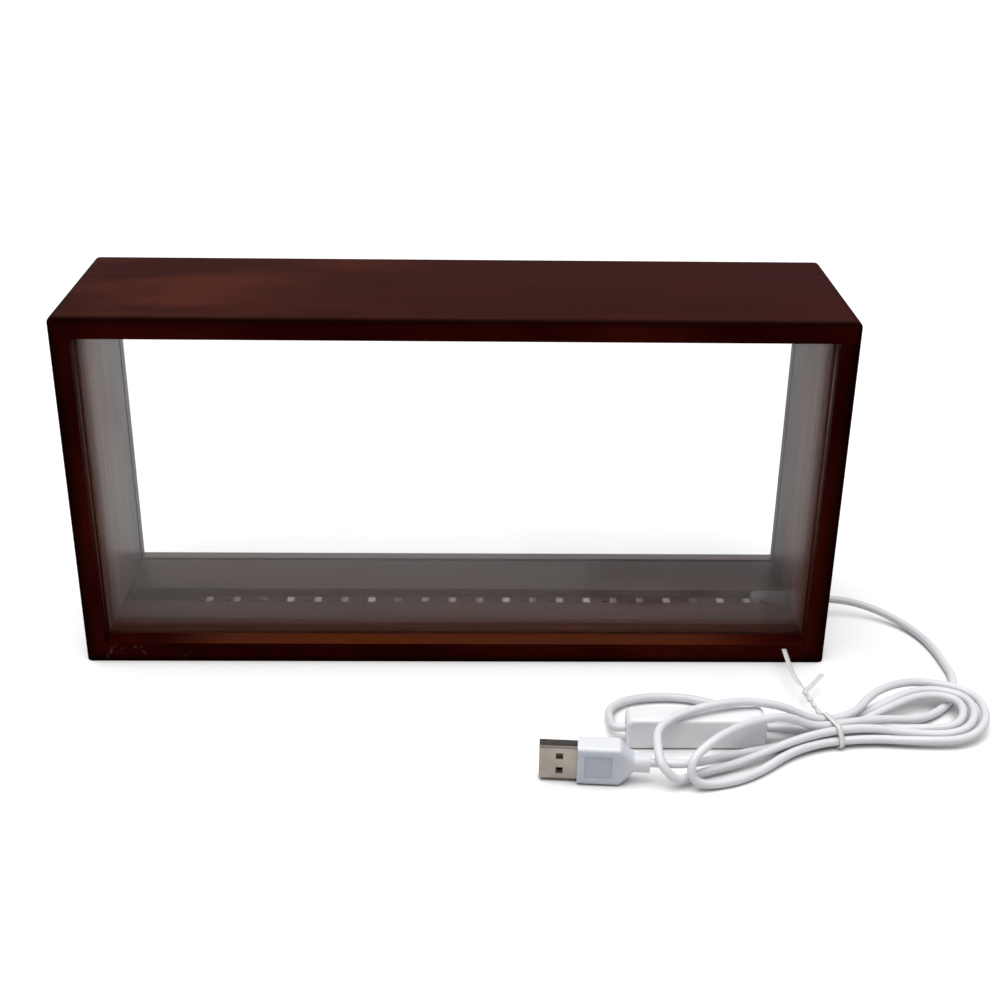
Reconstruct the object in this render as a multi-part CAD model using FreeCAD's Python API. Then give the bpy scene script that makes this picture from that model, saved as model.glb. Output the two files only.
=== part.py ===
# A wooden display case with clear front and rear panels and a strip of lights let into its floor.
# A USB lead leaves its right side, with a push switch on it, and lies beside it in a tied hank.
# Millimetres: X to the right, Y to the back, Z up, from the middle of the case's underside.
import FreeCAD, Part
import math
import os
from collections import namedtuple

from FreeCAD import Vector

# Case
case_width = 260.0
case_depth = 70.0
case_height = 126.0
board = 7.0
edge_round = 2.2

# Clear panels and the grooves that hold them
panel = 2.0
panel_play = 0.2
groove_depth = 3.0
front_lip = 7.2
rear_lip = 4.4

# Pin nails, set below the surface and filled over
nail_radius = 0.6
nail_length = 18.0
nail_point = 1.2
nail_set = 0.8
nail_play = 0.05
top_nail_shares = [-0.55, 0.0, 0.55]
floor_nail_shares = [-0.5, 0.5]

# Light strip in its groove across the floor
light_line = 0.5
light_groove_width = 10.0
light_groove_depth = 3.0
strip_width = 8.0
strip_start_space = 25.0
strip_end_space = 10.0
tape = 0.3
strip_board = 0.4
light_pitch = 10.0
light_length = 2.8
light_width = 3.5
light_height = 0.8
lens_rim = 0.4
lens_depth = 0.3
resistor_length = 2.0
resistor_width = 1.25
resistor_height = 0.5

# Wires, solder and glue where the cord meets the strip
wire_radius = 0.5
wire_spread = 0.7
pad_spread = 2.0
pad_inset = 2.2
solder_radius = 1.1
glue_overlap = 3.6
glue_width = 9.2
glue_crown = 0.9
glue_nose = 3.0
glue_round = 2.4

# Cord
cord_radius = 1.4
cord_height = 6.0
cord_play = 0.2
cord_end_inset = 7.5

# Switch on the cord, standing on a long edge
switch_length = 45.0
switch_thick = 9.0
switch_tall = 11.0
switch_wall = 1.4
switch_grip = 2.8
switch_corner = 2.6
switch_round = 1.1
switch_bore_play = 0.1
button_radius = 3.0
button_play = 0.2
button_proud = 1.6
button_dish = 0.3
button_dish_radius = 9.0
button_flange = 0.8
button_flange_step = 0.9
button_stop_play = 0.1
stem_radius = 1.2
bridge = 0.4
bridge_length = 9.0
bridge_width = 3.0
button_travel = 1.0
contact = 0.4
contact_gap = 3.0
contact_end_play = 0.4

# USB plug, standing on a narrow edge
plug_yaw_degrees = -4.0
plug_tall = 13.5
plug_thick = 8.0
plug_body = 13.0
plug_corner = 1.6
plug_taper = 4.6
plug_neck = 4.8
neck_size = 6.0
neck_corner = 2.8
recess_depth = 0.4
recess_length = 8.6
recess_tall = 8.4
recess_corner = 0.8
shell_tall = 12.0
shell_thick = 4.5
shell_wall = 0.35
shell_corner = 0.7
shell_proud = 11.8
shell_seat = 6.0
window = 2.2
window_place = 5.2
window_spread = 2.6
tongue_tall = 10.6
tongue_thick = 1.85
tongue_inset = 0.7
pin_width = 1.0
pin_thick = 0.2
pin_length = 7.4
pin_inset = 1.4
pin_places = [-3.5, -1.0, 1.0, 3.5]

# Twist tie round the hank's waist
tie_width = 1.5
tie_thick = 0.45
tie_play = 0.5
tie_turn_degrees = 20.0
tie_wire = 0.5
twist_radius = 0.6
twist_pitch = 7.0
twist_quarters = 8

# One overrun for every cut, the tolerance for finding an edge by its place, and what counts as straight
cut_overrun = 1.0
touch = 0.01
straight_degrees = 0.01

# The lead's free stretch, chosen by hand, in millimetres from the case's front right foot
lead_start = 11.0
lead_route = [(22.5, 33.2, 4.4), (32.5, 26.6, 2.3), (39.0, 16.5, 1.4), (41.6, 5.0, 1.4), (42.4, -6.0, 1.4)]
run_share = 0.45

# The hank's waist, where the tie draws the strands in: a row of four with three more lying in its hollows
waist_place = -8.0
waist_back = -42.2
waist_step = 3.4
waist_height = 2.4
waist_rise = 3.0

# The hank's right bights lie one inside the other about one middle
bight_middle = (29.6, -36.4)
bight_radius = 15.7
bight_step = 3.6
bight_low = 2.7
bight_crest = 4.85
shoulder_place = (18.0, -25.0)
shoulder_step = (1.6, -3.2)
shoulder_heights = [6.5, 4.1, 4.8]
shoulder_slopes = [0.06, -0.18, -0.1]

# The cord's other turns, chosen by hand: a place from the case's front right foot, and a heading there
under_bights_turn = ((39.0, -23.0, 1.4), (-0.45, -1.0, 0.0))
inside_bights_turn = ((17.0, -40.6, 3.0), (-1.0, -0.2, 0.18))
front_crest_turn = ((-30.0, -54.2, 12.6), (-1.0, -0.38, 0.05))
front_shoulder_turn = ((-53.0, -69.4, 11.5), (-0.75, -0.6, -0.25))
front_fold_turn = ((-57.1, -74.2, 6.8), (0.05, -0.3, -1.0))
front_landing_turn = ((-49.0, -74.0, 1.4), (1.0, 0.3, 0.0))
top_crest_turn = ((-30.5, -45.8, 12.8), (-1.0, -0.06, 0.12))
neck_fold_turn = ((-67.1, -69.0, 10.7), (-0.06, -0.98, -0.17))
neck_front_turn = ((-63.8, -74.6, 5.6), (0.7, 0.0, -0.7))
neck_landing_turn = ((-51.0, -68.0, 2.0), (1.0, 0.35, 0.03))
rear_crest_turn = ((-63.0, -25.4, 1.8), (-1.0, 0.0, 0.01))
rear_fold_turn = ((-79.3, -38.6, 2.6), (0.0, -1.0, 0.08))
beside_switch_turn = ((-34.0, -56.2, 1.4), (-1.0, -0.29, 0.0))

# Where the switch, the plug's neck and the tie's ends lie, from the same foot
switch_place = (-52.5, -49.0)
neck_place = (-69.6, -70.1)
twist_start = (-10.1, -41.5, 5.0)
twist_end = (-12.7, -26.7, 5.0)
long_tie_end = [((-14.9, -17.7, 6.0), (-0.12, 1.0, 0.07)), ((-15.0, -2.2, 6.6), (0.05, 1.0, 0.02))]
short_tie_end = [((-8.1, -22.0, 5.6), (0.75, 0.66, 0.1)), ((-5.0, -18.0, 6.2), (0.6, 0.78, 0.1))]

half_width = case_width / 2
half_depth = case_depth / 2
inner_half = half_width - board
ceiling = case_height - board
groove_floor = board - groove_depth
groove_width = panel + 2 * panel_play
front_groove = -half_depth + front_lip
rear_groove = half_depth - rear_lip - groove_width
light_floor = board - light_groove_depth
strip_end = inner_half - strip_end_space
light_count = int((2 * inner_half - strip_start_space - strip_end_space) / light_pitch)
strip_start = strip_end - light_count * light_pitch
strip_top = light_floor + tape + strip_board
cord_end = inner_half - cord_end_inset
foot = Vector(half_width, -half_depth, 0)
exit_point = Vector(half_width, light_line, cord_height)
pieces = {}


def block(low, high):
    """A box between two opposite corners."""
    size = high - low
    return Part.makeBox(size.x, size.y, size.z, low)


def rod(start, end, radius):
    """A cylinder from one point to another."""
    along = end - start
    return Part.makeCylinder(radius, along.Length, start, along)


def unit(vector):
    """The same direction at length one."""
    return vector / vector.Length


def rounded_outline(x, wide, tall, radius):
    """A closed outline with round corners, square to X, about the X axis."""
    edges = []
    for turn in range(4):
        across = wide / 2 if turn % 2 == 0 else tall / 2
        along = tall / 2 if turn % 2 == 0 else wide / 2
        spin = FreeCAD.Rotation(Vector(1, 0, 0), 90 * turn)
        side = [Vector(x, across, radius - along), Vector(x, across, along - radius)]
        corner = Vector(x, across - radius, along - radius)
        lean = radius / math.sqrt(2)
        arc = [side[1], corner + Vector(0, lean, lean), corner + Vector(0, 0, radius)]
        edges.append(Part.LineSegment(*[spin.multVec(point) for point in side]).toShape())
        edges.append(Part.Arc(*[spin.multVec(point) for point in arc]).toShape())
    return Part.Wire(edges)


# Case boards: the top lies over the sides, and the floor is held between them
def groove_along_x(start, end, place, low, high):
    """The space that a panel's groove takes along X."""
    return block(Vector(start, place, low), Vector(end, place + groove_width, high))


def make_top_board():
    """The top, grooved below for both panels; the rear groove runs out at its left end."""
    solid = block(Vector(-half_width, -half_depth, ceiling), Vector(half_width, half_depth, case_height))
    upper = [edge for edge in solid.Edges if edge.BoundBox.ZMin > case_height - touch]
    upright = [edge for edge in solid.Edges if edge.BoundBox.ZLength > board - touch]
    solid = solid.makeFillet(edge_round, upper + upright)
    reach = inner_half + groove_depth
    top = ceiling + groove_depth
    solid = solid.cut(groove_along_x(-reach, reach, front_groove, ceiling - cut_overrun, top))
    left = -half_width - cut_overrun
    return solid.cut(groove_along_x(left, reach, rear_groove, ceiling - cut_overrun, top))


def make_floor_board():
    """The floor, grooved for both panels and for the light strip."""
    solid = block(Vector(-inner_half, -half_depth, 0), Vector(inner_half, half_depth, board))
    over = inner_half + cut_overrun
    for place in (front_groove, rear_groove):
        solid = solid.cut(groove_along_x(-over, over, place, groove_floor, board + cut_overrun))
    low = Vector(-over, light_line - light_groove_width / 2, light_floor)
    high = Vector(over, light_line + light_groove_width / 2, board + cut_overrun)
    return solid.cut(block(low, high))


def make_side_board(side):
    """A side, rounded on its outer upright edges and grooved inside for the front panel."""
    outer = side * half_width
    inner = side * inner_half
    low = min(outer, inner)
    high = max(outer, inner)
    solid = block(Vector(low, -half_depth, 0), Vector(high, half_depth, ceiling))
    upright = [edge for edge in solid.Edges if edge.BoundBox.ZLength > ceiling - touch]
    upright = [edge for edge in upright if abs(edge.CenterOfMass.x - outer) < touch]
    solid = solid.makeFillet(edge_round, upright)
    return solid.cut(side_groove(side, front_groove, inner_half + groove_depth))


def side_groove(side, place, reach):
    """The space of a groove in a side, from the floor's groove up through the side's top end."""
    near = side * (inner_half - cut_overrun)
    far = side * reach
    low = Vector(min(near, far), place, groove_floor)
    high = Vector(max(near, far), place + groove_width, ceiling + cut_overrun)
    return block(low, high)


def make_left_board():
    """The left side, slit right through so that the rear panel slides out."""
    return make_side_board(-1).cut(side_groove(-1, rear_groove, half_width + cut_overrun))


def make_right_board():
    """The right side, grooved for the rear panel and bored for the cord."""
    solid = make_side_board(1).cut(side_groove(1, rear_groove, inner_half + groove_depth))
    start = exit_point - Vector(board + cut_overrun, 0, 0)
    end = exit_point + Vector(cut_overrun, 0, 0)
    return solid.cut(rod(start, end, cord_radius + cord_play))


def nail_places():
    """Where each nail's head lies, and the way that it points."""
    places = []
    for side in (-1, 1):
        for share in top_nail_shares:
            head = Vector(side * (half_width - board / 2), share * half_depth, case_height - nail_set)
            places.append((head, Vector(0, 0, -1)))
        for share in floor_nail_shares:
            head = Vector(side * (half_width - nail_set), share * half_depth, board / 2)
            places.append((head, Vector(-side, 0, 0)))
    return places


def make_nail(head, heading):
    """A pin nail with a pointed end."""
    shoulder = head + heading * (nail_length - nail_point)
    shank = rod(head, shoulder, nail_radius)
    return shank.fuse(Part.makeCone(nail_radius, 0, nail_point, shoulder, heading))


def nail_hole(head, heading):
    """The hole that a nail leaves in the boards."""
    return rod(head, head + heading * nail_length, nail_radius + nail_play)


def make_case():
    """The four boards with their nails."""
    boards = {"top_board": make_top_board(), "floor_board": make_floor_board()}
    boards["left_board"] = make_left_board()
    boards["right_board"] = make_right_board()
    holes = Part.makeCompound([nail_hole(head, heading) for head, heading in nail_places()])
    for name, solid in boards.items():
        pieces[name] = solid.cut(holes)
    pieces["pin_nails"] = Part.makeCompound([make_nail(head, heading) for head, heading in nail_places()])


# Panels: the front one is trapped in its grooves, and the rear one slides out to the left
def make_panels():
    """Two clear panels; the front one stands on its groove's floor."""
    reach = inner_half + groove_depth - panel_play
    top = ceiling + groove_depth - panel_play
    near = front_groove + panel_play
    pieces["front_panel"] = block(Vector(-reach, near, groove_floor), Vector(reach, near + panel, top))
    near = rear_groove + panel_play
    low = Vector(-half_width, near, groove_floor + panel_play)
    pieces["rear_panel"] = block(low, Vector(reach, near + panel, top))


# Light strip
def on_strip(x, y, z, length, width, height):
    """A box on the light line, given the middle of its underside."""
    low = Vector(x - length / 2, light_line + y - width / 2, z)
    return block(low, low + Vector(length, width, height))


def make_strip():
    """The tape, the circuit strip, and its lights, lenses and resistors."""
    length = strip_end - strip_start
    middle = (strip_start + strip_end) / 2
    pieces["strip_tape"] = on_strip(middle, 0, light_floor, length, strip_width, tape)
    pieces["strip_board"] = on_strip(middle, 0, light_floor + tape, length, strip_width, strip_board)
    lights = []
    lenses = []
    resistors = []
    lens_length = light_length - 2 * lens_rim
    lens_width = light_width - 2 * lens_rim
    lens_floor = strip_top + light_height - lens_depth
    for number in range(light_count):
        place = strip_start + (number + 0.5) * light_pitch
        lens = on_strip(place, 0, lens_floor, lens_length, lens_width, lens_depth)
        lights.append(on_strip(place, 0, strip_top, light_length, light_width, light_height).cut(lens))
        lenses.append(lens)
        between = place - light_pitch / 2 + resistor_length
        resistors.append(on_strip(between, 0, strip_top, resistor_length, resistor_width, resistor_height))
    pieces["strip_lights"] = Part.makeCompound(lights)
    pieces["strip_lenses"] = Part.makeCompound(lenses)
    pieces["strip_resistors"] = Part.makeCompound(resistors)


# Curves made of arcs: a station is a place that a curve passes, with its heading there
Station = namedtuple("Station", "place heading")


def station(place, heading):
    """A station whose heading has length one."""
    return Station(Vector(place), unit(Vector(heading)))


def from_foot(place, heading):
    """A station given from the case's front right foot."""
    return station(foot + Vector(place), heading)


def arc_edge(start, corner, end, radii):
    """The arc that leaves start towards a corner and reaches end from it, or a line if it is straight."""
    before = unit(corner - start)
    after = unit(end - corner)
    turn = before.getAngle(after)
    if turn < math.radians(straight_degrees):
        return Part.LineSegment(start, end).toShape()
    reach = (corner - start).Length
    radii.append(reach / math.tan(turn / 2))
    inward = unit(after - before)
    middle = corner + inward * (reach * math.tan(turn / 4))
    return Part.Arc(start, middle, end).toShape()


def biarc(start, end, radii):
    """Two arcs with one tangent where they meet, from one station to the next."""
    span = end.place - start.place
    cosine = start.heading.dot(end.heading)
    both = span.dot(start.heading + end.heading)
    if 1 - cosine < 1e-9:
        reach = span.dot(span) / (4 * span.dot(end.heading))
    else:
        reach = (math.sqrt(both ** 2 + 2 * (1 - cosine) * span.dot(span)) - both) / (2 * (1 - cosine))
    corner_one = start.place + start.heading * reach
    corner_two = end.place - end.heading * reach
    meeting = (corner_one + corner_two) / 2
    first = arc_edge(start.place, corner_one, meeting, radii)
    return [first, arc_edge(meeting, corner_two, end.place, radii)]


def curve(stations, radii):
    """One wire of arcs through the stations."""
    edges = []
    for start, end in zip(stations, stations[1:]):
        straight = (end.place - start.place).getAngle(start.heading) < math.radians(straight_degrees)
        if straight and start.heading.getAngle(end.heading) < math.radians(straight_degrees):
            edges.append(Part.LineSegment(start.place, end.place).toShape())
        else:
            edges.extend(biarc(start, end, radii))
    return Part.Wire(edges)


def tube(path, start, heading, radius):
    """A round solid along a path."""
    ring = Part.Wire(Part.makeCircle(radius, start, heading))
    return path.makePipeShell([ring], True, False)


# Wires and glue at the strip's right end, and the cord's inner end
def make_strip_end():
    """Two wires from the cord's end, soldered to the strip and covered with glue."""
    wires = {}
    solder = []
    for name, side in (("wire_positive", 1), ("wire_negative", -1)):
        start = Vector(cord_end, light_line + side * wire_spread, cord_height)
        end = Vector(strip_end - pad_inset, light_line + side * pad_spread, strip_top + wire_radius)
        heading = Vector(-1, 0, 0)
        path = curve([station(start, heading), station(end, heading)], [])
        wires[name] = tube(path, start, heading, wire_radius)
        lump = Part.makeSphere(solder_radius, Vector(end.x, end.y, strip_top), Vector(0, 0, 1), 0, 90)
        solder.append(lump.cut(wires[name]))
    pieces.update(wires)
    pieces["solder_joints"] = Part.makeCompound(solder)
    inner = rod(Vector(cord_end, light_line, cord_height), exit_point, cord_radius)
    pieces["cable_inner"] = inner
    low = Vector(strip_end - glue_overlap, light_line - glue_width / 2, light_floor)
    high = Vector(inner_half, light_line + glue_width / 2, board + glue_crown)
    glue = block(low, high)
    upright = [edge for edge in glue.Edges if edge.BoundBox.ZLength > touch]
    glue = glue.makeFillet(glue_nose, [edge for edge in upright if edge.CenterOfMass.x < low.x + touch])
    rims = [edge for edge in glue.Edges if edge.BoundBox.ZMin > high.z - touch]
    glue = glue.makeFillet(glue_round, [edge for edge in rims if edge.CenterOfMass.x < inner_half - touch])
    held = list(wires.values()) + solder + [inner, pieces["strip_tape"], pieces["strip_board"]]
    held += pieces["strip_lights"].Solids + pieces["strip_lenses"].Solids + pieces["strip_resistors"].Solids
    for solid in held:
        glue = glue.cut(solid)
    pieces["end_glue"] = glue


# Cord: a free lead, then the hank with the switch between its two lengths
def lead_points():
    """The lead's route, starting square to the case's side."""
    square = [exit_point, exit_point + Vector(lead_start, 0, 0)]
    return square + [foot + Vector(place) for place in lead_route]


def rounded_route(points, radii):
    """Straight runs joined by the largest tangent arcs that the runs allow."""
    edges = []
    last = points[0]
    for before, point, after in zip(points, points[1:], points[2:]):
        reach = run_share * min((point - before).Length, (after - point).Length)
        start = point + unit(before - point) * reach
        end = point + unit(after - point) * reach
        edges.append(Part.LineSegment(last, start).toShape())
        edges.append(arc_edge(start, point, end, radii))
        last = end
    edges.append(Part.LineSegment(last, points[-1]).toShape())
    return Part.Wire(edges)


def waist_row(slot, heading):
    """A strand of the waist's lower row, counted from the back."""
    return from_foot((waist_place, waist_back - slot * waist_step, waist_height), heading)


def waist_top(slot, heading):
    """A strand that lies in one of the lower row's hollows, counted from the back."""
    place = waist_back - (slot + 0.5) * waist_step
    return from_foot((waist_place, place, waist_height + waist_rise), heading)


def right_bight(number):
    """One of the nested right bights, from its near side round to its far side."""
    x, y = bight_middle
    radius = bight_radius - number * bight_step
    shoulder_x = shoulder_place[0] + number * shoulder_step[0]
    shoulder_y = shoulder_place[1] + number * shoulder_step[1]
    near = from_foot((x, y - radius, bight_low), (1, 0, 0.02))
    crest = from_foot((x + radius, y, bight_crest), (0, 1, 0.02))
    far = (shoulder_x, shoulder_y, shoulder_heights[number])
    return [near, crest, from_foot(far, (-1, -0.5, shoulder_slopes[number]))]


def reverse(stations):
    """The same stations passed the other way."""
    return [Station(passed.place, passed.heading * -1) for passed in reversed(stations)]


def switch_middle():
    """The middle of the switch, where the cord's line passes through it."""
    return foot + Vector(switch_place[0], switch_place[1], switch_tall / 2)


def neck_end():
    """The middle of the end of the plug's neck."""
    return foot + Vector(neck_place[0], neck_place[1], plug_tall / 2)


def plug_heading():
    """The way that the plug points, from its neck to its tip."""
    yaw = math.radians(plug_yaw_degrees)
    return Vector(-math.cos(yaw), -math.sin(yaw), 0)


def hank_stations():
    """From the lead's end, three times round, to the switch's left end."""
    points = lead_points()
    heading = unit(points[-1] - points[-2])
    stations = [station(points[-1], heading), station(points[-1] + heading * 2 * cord_radius, heading)]
    stations.append(from_foot(*under_bights_turn))
    stations.append(from_foot(*inside_bights_turn))
    stations.append(waist_top(1, (-1, -0.26, 0)))
    stations.append(from_foot(*front_crest_turn))
    stations.append(from_foot(*front_shoulder_turn))
    stations.append(from_foot(*front_fold_turn))
    stations.append(from_foot(*front_landing_turn))
    stations.append(waist_row(3, (1, 0.22, 0)))
    stations += right_bight(0)
    stations.append(waist_top(0, (-1, -0.22, 0.03)))
    stations.append(from_foot(*top_crest_turn))
    stations.append(from_foot(*neck_fold_turn))
    stations.append(from_foot(*neck_front_turn))
    stations.append(from_foot(*neck_landing_turn))
    stations.append(waist_top(2, (1, 0.25, 0.04)))
    stations += right_bight(1)
    stations.append(waist_row(0, (-1, -0.28, 0)))
    stations.append(from_foot(*rear_crest_turn))
    stations.append(from_foot(*rear_fold_turn))
    mouth = switch_middle() - Vector(switch_length / 2, 0, 0)
    stations.append(station(mouth, (1, 0, 0)))
    stations.append(station(mouth + Vector(switch_grip, 0, 0), (1, 0, 0)))
    return stations


def tail_stations():
    """From the switch's right end, once round, to the plug's neck."""
    mouth = switch_middle() + Vector(switch_length / 2, 0, 0)
    stations = [station(mouth - Vector(switch_grip, 0, 0), (1, 0, 0)), station(mouth, (1, 0, 0))]
    stations.append(waist_row(1, (1, 0.25, 0)))
    stations += reverse(right_bight(2))
    stations.append(waist_row(2, (-1, -0.28, 0)))
    stations.append(from_foot(*beside_switch_turn))
    stations.append(station(neck_end() - plug_heading() * 2 * cord_radius, plug_heading()))
    stations.append(station(neck_end(), plug_heading()))
    return stations


def least_gap(path, other=None):
    """The least gap between two cord surfaces, or between one cord and itself, on points of their paths."""
    step = cord_radius / 2
    near = 8 * cord_radius / step
    points = [tuple(point) for point in path.discretize(Distance=step)]
    others = points if other is None else [tuple(point) for point in other.discretize(Distance=step)]
    least = math.inf
    for number, point in enumerate(points):
        for count, far in enumerate(others):
            if other is not None or count - number > near:
                least = min(least, math.dist(point, far))
    return least - 2 * cord_radius


def make_cord():
    """The free lead and the hank's two lengths."""
    points = lead_points()
    lead_radii = []
    lead = rounded_route(points, lead_radii)
    pieces["cable_lead"] = tube(lead, points[0], Vector(1, 0, 0), cord_radius)
    print("lead radii", [round(radius, 1) for radius in lead_radii])
    paths = {}
    for name, stations in (("cable_hank", hank_stations()), ("cable_tail", tail_stations())):
        radii = []
        paths[name] = curve(stations, radii)
        pieces[name] = tube(paths[name], stations[0].place, stations[0].heading, cord_radius)
        print(name, "least radius", round(min(radii), 1), "gap to itself", round(least_gap(paths[name]), 2))
    print("gap between the hank's lengths", round(least_gap(paths["cable_hank"], paths["cable_tail"]), 2))
    for name, path in [("cable_lead", lead)] + list(paths.items()):
        expected = math.pi * cord_radius ** 2 * path.Length
        share = pieces[name].Volume / expected
        print(name, "length", round(path.Length, 1), "volume against section times length", round(share, 4))


# Twist tie: a band round the waist, its ends twisted together and left as two tails
def round_outline(places, radius, x):
    """A closed outline square to X that runs round a convex set of places at a distance."""
    edges = []
    count = len(places)
    for number in range(count):
        before = places[number - 1]
        place = places[number]
        after = places[(number + 1) % count]
        out_one = unit(Vector(0, place.z - before.z, before.y - place.y))
        out_two = unit(Vector(0, after.z - place.z, place.y - after.y))
        centre = Vector(x, place.y, place.z)
        start = centre + out_one * radius
        end = centre + out_two * radius
        edges.append(Part.Arc(start, centre + unit(out_one + out_two) * radius, end).toShape())
        edges.append(Part.LineSegment(end, Vector(x, after.y, after.z) + out_two * radius).toShape())
    return Part.Wire(edges)


def twist_stations(phase):
    """One end of the tie, a quarter turn at a time about the twist's line."""
    start = foot + Vector(twist_start)
    along = unit(Vector(twist_end) - Vector(twist_start))
    side = unit(along.cross(Vector(0, 0, 1)))
    up = side.cross(along)
    stations = []
    for quarter in range(twist_quarters + 1):
        angle = math.radians(phase + 90 * quarter)
        out = side * math.cos(angle) + up * math.sin(angle)
        round_way = up * math.cos(angle) - side * math.sin(angle)
        place = start + along * (twist_pitch * quarter / 4) + out * twist_radius
        stations.append(station(place, along * twist_pitch + round_way * (2 * math.pi * twist_radius)))
    return stations


def make_tie():
    """The tie as one piece: its band is drawn square to X about the waist's middle, then turned across it."""
    along = (1, 0, 0)
    outer_strands = [waist_row(3, along), waist_row(0, along), waist_top(0, along), waist_top(2, along)]
    middle = (outer_strands[0].place + outer_strands[1].place) / 2
    places = [strand.place - middle for strand in outer_strands]
    inside = cord_radius + tie_play
    outer = Part.Face(round_outline(places, inside + tie_thick, -tie_width / 2))
    inner = Part.Face(round_outline(places, inside, -tie_width / 2))
    tie = outer.cut(inner).extrude(Vector(tie_width, 0, 0))
    tie.rotate(Vector(), Vector(0, 0, 1), tie_turn_degrees)
    tie.translate(middle)
    for phase, turns in ((0, long_tie_end), (180, short_tie_end)):
        stations = twist_stations(phase) + [from_foot(*turn) for turn in turns]
        tie = tie.fuse(tube(curve(stations, []), stations[0].place, stations[0].heading, tie_wire))
    pieces["twist_tie"] = tie


# Switch: two moulded halves about the cord, with a button in the rear one
def make_switch_body():
    """A bar with round corners along the switch, about the switch's middle."""
    outline = rounded_outline(0, switch_length, switch_tall, switch_corner)
    solid = Part.Face(outline).extrude(Vector(switch_thick, 0, 0))
    solid.rotate(Vector(), Vector(0, 0, 1), 90)
    solid.translate(Vector(0, -switch_thick / 2, 0))
    return solid


def make_switch():
    """The shells, the button with its bridge, and the two contacts."""
    middle = switch_middle()
    body = make_switch_body()
    half = switch_thick / 2
    faces = [edge for edge in body.Edges if edge.BoundBox.YLength < touch]
    body = body.makeFillet(switch_round, faces)
    inside_length = switch_length / 2 - switch_grip
    inside_tall = switch_tall / 2 - switch_wall
    inside_depth = half - switch_wall
    hollow_high = Vector(inside_length, inside_depth, inside_tall)
    body = body.cut(block(hollow_high * -1, hollow_high))
    reach = Vector(switch_length / 2 + cut_overrun, 0, 0)
    body = body.cut(rod(reach * -1, reach, cord_radius + switch_bore_play))
    over = Vector(switch_length, switch_thick, switch_tall)
    front = body.cut(block(Vector(-over.x, 0, -over.z), over))
    rear = body.cut(block(over * -1, Vector(over.x, 0, over.z)))
    hole = rod(Vector(), Vector(0, over.y, 0), button_radius + button_play)
    rear = rear.cut(hole)
    pieces["switch_front_shell"] = front.translated(middle)
    pieces["switch_rear_shell"] = rear.translated(middle)
    contact_face = -inside_depth + contact
    bridge_face = contact_face + button_travel + button_stop_play
    flange_face = inside_depth - button_stop_play
    flange_radius = button_radius + button_flange_step
    flange_low = Vector(0, flange_face - button_flange, 0)
    flange_high = Vector(0, flange_face, 0)
    button = rod(flange_low, Vector(0, half + button_proud, 0), button_radius)
    button = button.fuse(rod(flange_low, flange_high, flange_radius))
    button = button.fuse(rod(Vector(0, bridge_face + bridge, 0), flange_high, stem_radius))
    dish_middle = half + button_proud - button_dish + button_dish_radius
    button = button.cut(Part.makeSphere(button_dish_radius, Vector(0, dish_middle, 0))).removeSplitter()
    pieces["switch_button"] = button.translated(middle)
    low = Vector(-bridge_length / 2, bridge_face, -bridge_width / 2)
    bridge_plate = block(low, low + Vector(bridge_length, bridge, bridge_width))
    pieces["switch_bridge"] = bridge_plate.translated(middle)
    contacts = []
    for side in (-1, 1):
        near = side * contact_gap / 2
        far = side * (inside_length - contact_end_play)
        low = Vector(min(near, far), -inside_depth, -bridge_width / 2)
        high = Vector(max(near, far), contact_face, bridge_width / 2)
        contacts.append(block(low, high).translated(middle))
    pieces["switch_contacts"] = Part.makeCompound(contacts)


# Plug, made along X with its neck's end at the origin, then turned and laid in place
def make_plug():
    """The overmould, the metal shell, the tongue and its contacts."""
    taper_start = -plug_neck - plug_taper
    body_end = taper_start - plug_body
    section = rounded_outline(body_end, plug_thick, plug_tall, plug_corner)
    overmould = Part.Face(section).extrude(Vector(plug_body, 0, 0))
    wide = rounded_outline(taper_start, plug_thick, plug_tall, plug_corner)
    narrow = rounded_outline(-plug_neck, neck_size, neck_size, neck_corner)
    overmould = overmould.fuse(Part.makeLoft([wide, narrow], True, True))
    overmould = overmould.fuse(Part.Face(narrow).extrude(Vector(plug_neck, 0, 0)))
    seat_end = body_end + shell_seat
    shell_start = body_end - shell_proud
    length = seat_end - shell_start
    outline = rounded_outline(shell_start, shell_thick, shell_tall, shell_corner)
    outer = Part.Face(outline).extrude(Vector(length, 0, 0))
    inner_thick = shell_thick - 2 * shell_wall
    inner_tall = shell_tall - 2 * shell_wall
    outline = rounded_outline(shell_start, inner_thick, inner_tall, shell_corner - shell_wall)
    inner = Part.Face(outline).extrude(Vector(length, 0, 0))
    shell = outer.cut(inner)
    for side in (-1, 1):
        low = Vector(shell_start + window_place, -shell_thick, side * window_spread - window / 2)
        shell = shell.cut(block(low, low + Vector(window, 2 * shell_thick, window)))
    overmould = overmould.cut(outer)
    middle = (body_end + taper_start) / 2
    cut_depth = recess_depth + cut_overrun
    outline = rounded_outline(0, recess_length, recess_tall, recess_corner)
    recess = Part.Face(outline).extrude(Vector(cut_depth, 0, 0))
    recess.rotate(Vector(), Vector(0, 0, 1), -90)
    recess.translate(Vector(middle, -plug_thick / 2 + recess_depth, 0))
    overmould = overmould.cut(recess)
    low = Vector(shell_start + tongue_inset, inner_thick / 2 - tongue_thick, -tongue_tall / 2)
    tongue = block(low, Vector(seat_end, inner_thick / 2, tongue_tall / 2))
    pins = []
    for place in pin_places:
        low_pin = Vector(shell_start + tongue_inset + pin_inset, low.y - pin_thick, place - pin_width / 2)
        pins.append(block(low_pin, low_pin + Vector(pin_length, pin_thick, pin_width)))
    made = {"plug_overmould": overmould, "plug_shell": shell, "plug_tongue": tongue}
    made["plug_contacts"] = Part.makeCompound(pins)
    for name, solid in made.items():
        solid.rotate(Vector(), Vector(0, 0, 1), plug_yaw_degrees)
        solid.translate(neck_end())
        pieces[name] = solid


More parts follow.
